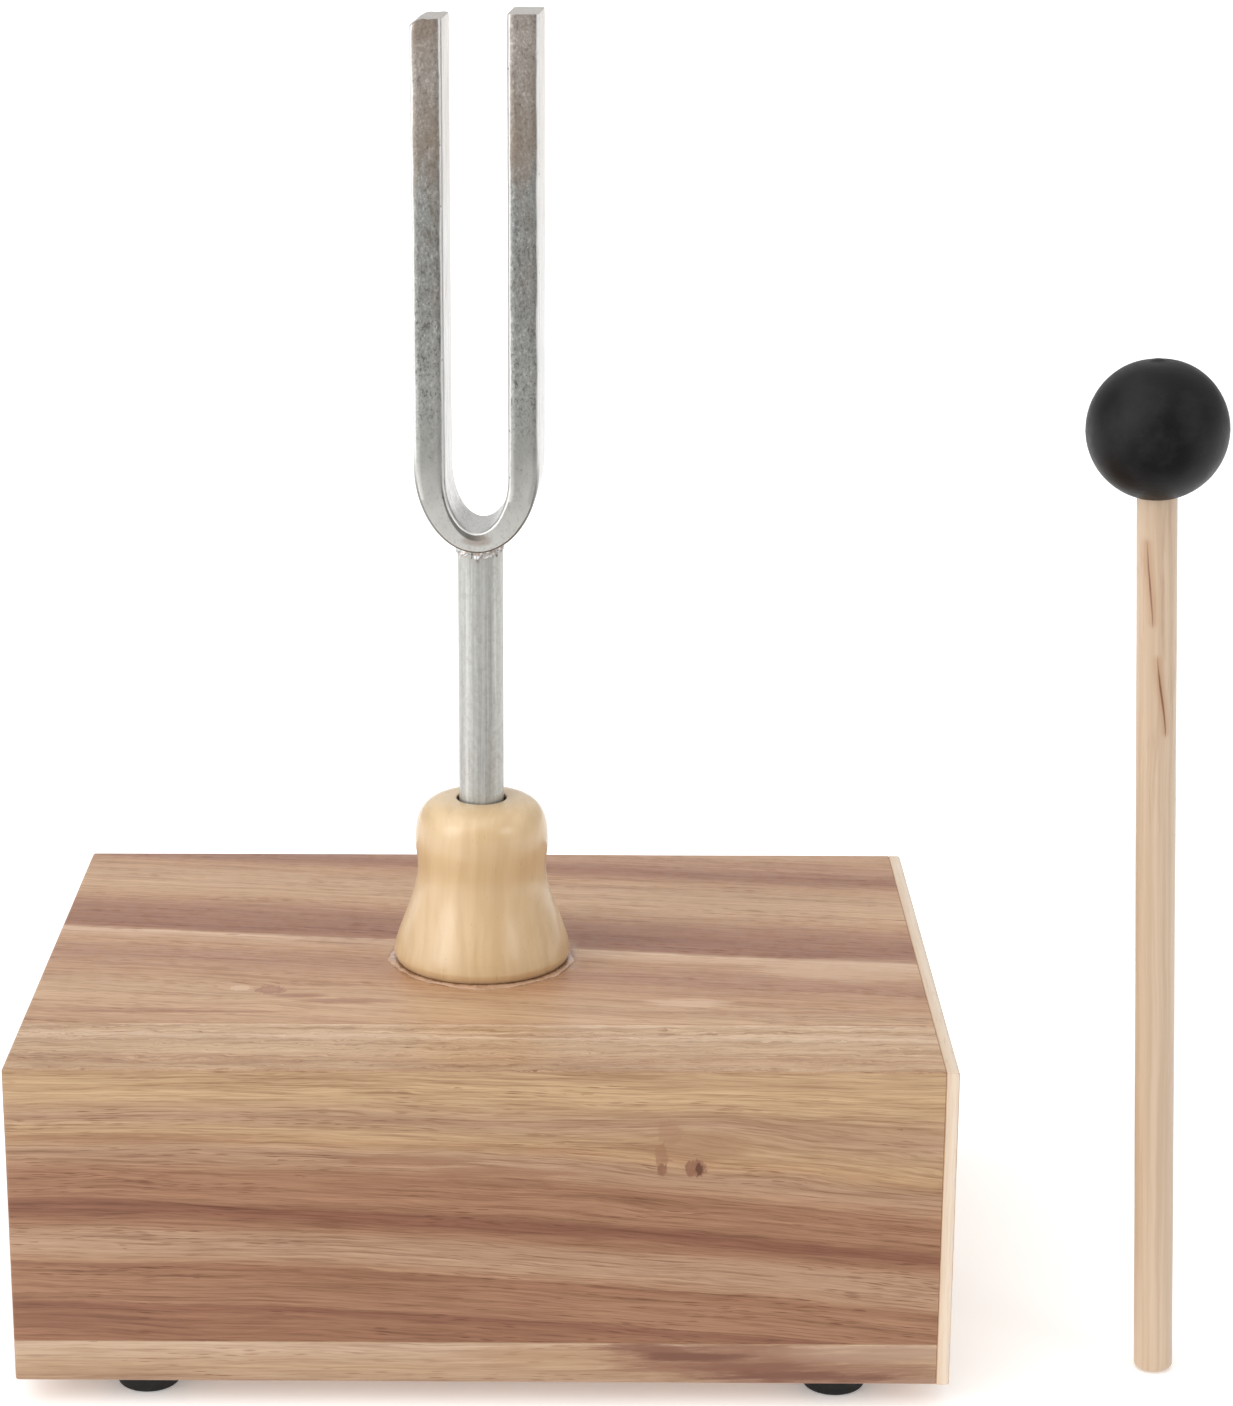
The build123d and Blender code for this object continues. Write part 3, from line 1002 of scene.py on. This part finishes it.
def make_stem():
    low = corners("fork_stem")[0].z - BOX_TOP
    sink = 0.05  # how far the stem's top reaches into the bend
    edge = 0.6
    levels, below_weld, top = 60, 84, 86.5
    profile = [(0, low), (STEM_RADIUS - edge, low)]
    profile += round_corner((STEM_RADIUS - edge, low + edge), edge, -80, 0, 4)
    rise = below_weld - low - edge
    profile += [(STEM_RADIUS, low + edge + rise * step / levels) for step in range(1, levels + 1)]
    profile += [(STEM_RADIUS, 85), (STEM_RADIUS, top)]
    profile += [(STEM_RADIUS * share, top) for share in (0.75, 0.5, 0.25, 0)]

    def shape(turn, radius, height):
        place = Vector((math.cos(turn) * 2, math.sin(turn) * 2, height / 6))
        if height < 86:
            return radius + 0.018 * noise.noise(place), height
        return radius, under_bend(radius * math.cos(turn - math.pi / 2)) + sink

    piece = lathe("fork_stem_look", profile, stem_paint(), "fork", FORK_FOOT, segments=120, shape=shape)
    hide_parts("fork_stem")


WELD_LUMPS_AT = math.radians(-115)  # the turn round the stem where the weld is thickest


def make_weld():
    """The bead between stem and bend: lumps of weld run round the stem."""
    vertices = []
    rings = []
    segments, arcs = 160, 14
    inside = STEM_RADIUS - 0.5
    for step in range(segments):
        turn = FULL_TURN * step / segments
        way = Vector((math.cos(turn) * 2.6, math.sin(turn) * 2.6, 1.7))
        front_left = max(0.0, math.cos(turn - WELD_LUMPS_AT))
        lump = 0.25 + 0.55 * front_left + 0.45 * noise.noise(way) + 0.40 * noise.noise(way * 2.7)
        reach = 0.40 + 0.62 * max(0.0, min(1.0, lump))
        low = 86.0 - 2.3 * max(0.1, min(1.0, lump * 0.9 + 0.30 * noise.noise(way * 4)))
        ring = []
        for arc in range(arcs + 1):
            share = arc / arcs
            swell = math.sin(math.pi * share) * 0.62 * reach
            radius = STEM_RADIUS - 0.12 + reach * share**1.5 + swell * 0.42
            x, y = radius * math.cos(turn), radius * math.sin(turn)
            y = max(-BAR_DEPTH / 2 + 0.8, min(BAR_DEPTH / 2 - 0.8, y))
            z = low + (under_bend(x) + 0.1 - low) * share
            place = Vector((x, y, z))
            ripple = 0.50 * noise.noise(place * 1.5) + 0.16 * noise.noise(place * 3.4)
            grow = 1 + ripple * math.sin(math.pi * share) / radius
            ring.append(len(vertices))
            vertices.append(on_fork((x * grow, y * grow, z - swell * 0.45)))
        x, y = inside * math.cos(turn), inside * math.sin(turn)
        for z in (under_bend(x) + 0.1, low + 0.2):
            ring.append(len(vertices))
            vertices.append(on_fork((x, y, z)))
        rings.append(ring)
    faces = skin(rings + rings[:1])
    piece = make_piece("stem_weld_look", vertices, faces, weld_paint(), "fork", 60)
    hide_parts("stem_weld")


def make_fork():
    steel = bar_paint()
    right_tip = corners("right_tine")[1].z - BOX_TOP
    left_tip = corners("left_tine")[1].z - BOX_TOP

    def right_top(share, depth):
        return right_tip - 0.03 - 0.05 * noise.noise(Vector((share * 3, depth / 4, 2)))

    def left_top(share, depth):
        filed = max(0.0, (share - 0.62) / 0.38)
        dent = 0.22 * (0.5 + noise.noise(Vector((share * 4, depth / 2.5, 8))))
        return left_tip - 0.03 - 1.35 * filed**1.7 - dent

    left = make_bar_half("fork_left_look", -1, left_tip, steel, left_top)
    right = make_bar_half("fork_right_look", 1, right_tip, steel, right_top)
    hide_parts("left_tine", "fork_bend")
    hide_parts("right_tine")
    make_stem()
    make_weld()


# ---- mallet

MALLET_AXIS = Vector((math.sin(MALLET_LEAN), 0, math.cos(MALLET_LEAN)))
BALL_CENTER = sum(corners("mallet_ball"), Vector()) / 2
MALLET_LENGTH = 201.6
STICK_IN_BALL = 18.0
STICK_FOOT = BALL_CENTER - MALLET_AXIS * (MALLET_LENGTH - BALL_RADIUS)


# Dark streaks near the ball: two heights on the dowel, where each end lies across it, and a half width.
GRAIN_SLASHES = ((151, 169, -1.3, -2.3, 0.14), (130, 147, 1.2, -0.4, 0.20))


def dowel_paint():
    """Pale dowel: long grain, a few dark streaks near the ball, a satin varnish."""
    paint = Paint("mallet_dowel_wood", Coat_Weight=0.35, Coat_Roughness=0.2)
    local = paint.measured_from(STICK_FOOT)
    x, y, z = paint.split(local)
    x = paint.add(x, paint.times(z, -math.tan(MALLET_LEAN)))
    warp = paint.times(paint.add(paint.noise(paint.join(0.0, 0.0, paint.times(z, 0.02))), -0.5), 3)
    bent = paint.add(x, warp)
    grown = paint.join(bent, y, z)
    streaks = paint.noise(paint.stretch(grown, 0.8, 0.5, 0.010), 1.0, 4.0, 0.6)
    fibres = paint.noise(paint.stretch(grown, 3.4, 2.6, 0.05), 1.0, 4.0, 0.7)
    colour = paint.mix(paint.between(streaks, 0.35, 0.65), rgb(202, 178, 152), rgb(190, 164, 137))
    colour = paint.over(colour, rgb(186, 152, 124), fibres, 0.52, 0.82, 0.32)
    colour = paint.over(colour, rgb(230, 212, 191), fibres, 0.46, 0.22, 0.22)
    swirl = paint.noise(paint.join(paint.times(bent, 0.9), 3.0, paint.times(z, 0.045)), 1.0, 3.0, 0.6)
    swirl = paint.times(paint.between(swirl, 0.52, 0.62, 0, 0.28), paint.between(z, 95, 135))
    colour = paint.mix(swirl, colour, rgb(160, 124, 98))
    facing_front = paint.math("LESS_THAN", y, 0.5)
    for low, high, low_x, high_x, wide in GRAIN_SLASHES:
        share = paint.between(z, low, high, smooth=False)
        middle = paint.between(z, low, high, low_x, high_x)
        thin = paint.math("SINE", paint.times(share, math.pi))
        side = paint.math("ABSOLUTE", paint.math("SUBTRACT", x, middle))
        ragged = paint.add(side, paint.times(paint.add(fibres, -0.5), 0.5))
        beyond = paint.math("SUBTRACT", ragged, paint.times(thin, wide))
        shown = paint.times(facing_front, paint.between(thin, 0.0, 0.3))
        halo = paint.times(paint.between(beyond, 1.3, 0.0, 0, 0.42), shown)
        colour = paint.mix(halo, colour, rgb(170, 122, 84))
        mark = paint.times(paint.between(beyond, 0.14, -0.12, 0, 0.85), shown)
        colour = paint.mix(mark, colour, rgb(112, 64, 36))
    rough = paint.between(fibres, 0.3, 0.7, 0.4, 0.54)
    return paint.surface(colour, rough, paint.bump(fibres, 0.035))


def make_mallet():
    into = MALLET_LENGTH - 2 * BALL_RADIUS + STICK_IN_BALL
    profile = [(0, 0.0), (1.8, 0.03), (STICK_RADIUS - 0.95, 0.14)]
    profile += round_corner((STICK_RADIUS - 0.75, 0.9), 0.75, -75, 0, 6)
    levels = 70
    profile += [(STICK_RADIUS, 0.9 + (into - 1.2) * step / levels) for step in range(1, levels + 1)]
    profile += [(STICK_RADIUS - 0.3, into), (0, into)]

    def whittled(turn, radius, height):
        place = Vector((math.cos(turn), math.sin(turn), height / 24))
        return (radius + 0.05 * noise.noise(place) - 0.03, height) if radius > 1 else (radius, height)

    paint = dowel_paint()
    stick = lathe("mallet_stick_look", profile, paint, "mallet", STICK_FOOT, MALLET_AXIS, 96, whittled)
    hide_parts("mallet_stick")

    hole = STICK_RADIUS + 0.03
    start = math.acos(-math.sqrt(1 - (hole / BALL_RADIUS) ** 2))
    depth = -BALL_RADIUS + STICK_IN_BALL
    ball = [(0, depth), (hole, depth), (hole, -BALL_RADIUS + 1.0)]
    rounds = 90
    for step in range(rounds + 1):
        angle = start * (1 - step / rounds)
        radius = BALL_RADIUS - 0.02
        seam = 0.06 * math.exp(-(((angle - math.pi / 2) / 0.012) ** 2))
        nub = 0.28 * math.exp(-((angle / 0.10) ** 4))
        radius += seam + nub - 0.26 * math.exp(-((angle / 0.3) ** 2))
        ball.append((radius * math.sin(angle), radius * math.cos(angle)))
    ball[-1] = (0, ball[-1][1])

    def cast(turn, radius, height):
        if radius < hole + 0.01 and height < 0:
            return radius, height
        place = Vector((math.cos(turn) * radius, math.sin(turn) * radius, height)) / 8
        push = 1 + 0.0022 * noise.noise(place) - 0.0012
        return radius * push, height * push

    paint = rubber_paint("mallet_ball_rubber", rgb(17, 17, 18), rgb(29, 29, 30), 0.42, 0.18)
    head = lathe("mallet_ball_look", ball, paint, "mallet", BALL_CENTER, MALLET_AXIS, 144, cast)
    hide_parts("mallet_ball")


# ---- stage, light and camera


def make_floor():
    size = 12.0
    steps = 24
    paint = Paint("pale_floor", Specular_IOR_Level=0.1)
    cloud = paint.noise(paint.place, 0.01, 3.0)
    tone = paint.mix(cloud, rgb(252, 252, 252), rgb(255, 255, 255))
    paint.finish(Base_Color=tone, Emission_Color=tone, Emission_Strength=0.26, Roughness=0.9)
    vertices = []
    for row in range(steps + 1):
        for column in range(steps + 1):
            vertices.append((size * (2 * column / steps - 1) / MM, size * (2 * row / steps - 1) / MM, 0))
    faces = []
    for row in range(steps):
        for column in range(steps):
            first = row * (steps + 1) + column
            faces.append((first, first + 1, first + steps + 2, first + steps + 1))
    make_piece("floor", vertices, faces, paint.material, None)


def make_dark_card():
    """A grey card lying in front, seen only in reflections, that gives the steel its darker middle."""
    paint = Paint("dark_card", Specular_IOR_Level=0.0)
    weave = paint.noise(paint.place, 0.05, 3.0)
    paint.finish(Base_Color=paint.mix(weave, (0.24, 0.24, 0.24, 1), (0.30, 0.30, 0.30, 1)), Roughness=1.0)
    near, far = BOX_FRONT - 40, BOX_FRONT - 1200
    outline = [(-80, near, 1), (260, near, 1), (1300, far, 1), (-560, far, 1)]
    card = make_piece("dark_card", outline, [(0, 1, 2, 3)], paint.material, None)
    card.visible_camera = False
    card.visible_diffuse = False
    card.visible_transmission = False
    card.visible_shadow = False


WALLS = 0.44
SCREENS = (
    # direction, how close to it the light begins and is full (as a cosine), and its strength
    ((-0.85, -0.50, 0.15), 0.55, 0.90, 0.66),  # broad screen on the left
    ((0.95, -0.25, 0.10), 0.60, 0.92, 0.2),  # weaker one on the right
    ((0.10, -1.00, 0.05), 0.60, 0.95, -0.36),  # darker in front
    ((0.00, 0.00, 1.00), 0.30, 0.95, 0.40),  # ceiling
    ((-0.78, -0.52, 0.34), 0.950, 0.975, 2.4),  # left window
    ((0.66, -0.60, 0.42), 0.972, 0.988, 2.4),  # right window
    ((0.00, 1.00, 0.30), 0.82, 0.96, 0.34),  # screen behind, seen in the steel
)


def make_world():
    """Pale studio walls with brighter screens and two windows, and darker in front."""
    world = bpy.data.worlds.new("studio")
    world.use_nodes = True
    bpy.context.scene.world = world
    sky = Nodes(world.node_tree)
    way = world.node_tree.nodes.new("ShaderNodeTexCoord").outputs["Generated"]
    strength = WALLS
    for direction, edge, full, amount in SCREENS:
        toward = sky.vector("DOT_PRODUCT", way, tuple(Vector(direction).normalized()), 1)
        strength = sky.add(strength, sky.between(toward, edge, full, 0, amount))
    back = world.node_tree.nodes["Background"]
    sky.set(back, {"Color": (1.0, 1.0, 1.0, 1.0), "Strength": strength})


def make_sun(name, strength, softness, aim):
    light = bpy.data.lights.new(name, "SUN")
    light.energy = strength
    light.angle = math.radians(softness)
    lamp = bpy.data.objects.new(name, light)
    lamp.rotation_euler = Vector(aim).to_track_quat("-Z", "Y").to_euler()
    bpy.context.collection.objects.link(lamp)


def make_camera():
    """The camera from in front, a little above, looking down along the fork."""
    data = bpy.data.cameras.new("camera")
    data.sensor_width = 36.0
    data.lens = 88.26
    data.shift_x = 0.0532
    data.clip_start = 0.01
    data.clip_end = 100.0
    lens = bpy.data.objects.new("camera", data)
    lens.location = Vector((BOX_MIDDLE + 18.0, BOX_FRONT - 602.0, BOX_BOTTOM + 309.7)) * MM
    yaw, pitch = math.radians(-0.612), math.radians(16.063)
    aim = Vector((math.sin(yaw) * math.cos(pitch), math.cos(yaw) * math.cos(pitch), -math.sin(pitch)))
    lens.rotation_euler = aim.to_track_quat("-Z", "Y").to_euler()
    bpy.context.collection.objects.link(lens)
    bpy.context.scene.camera = lens


make_box()
make_feet()
make_socket()
make_fork()
make_mallet()
make_floor()
make_dark_card()
make_world()
make_sun("key_light", 0.8, 70, (0.5, 0.4, -1.0))
make_sun("fill_light", 0.1, 90, (-0.05, 1.0, -0.45))
make_camera()
bpy.context.scene.view_settings.view_transform = "Standard"
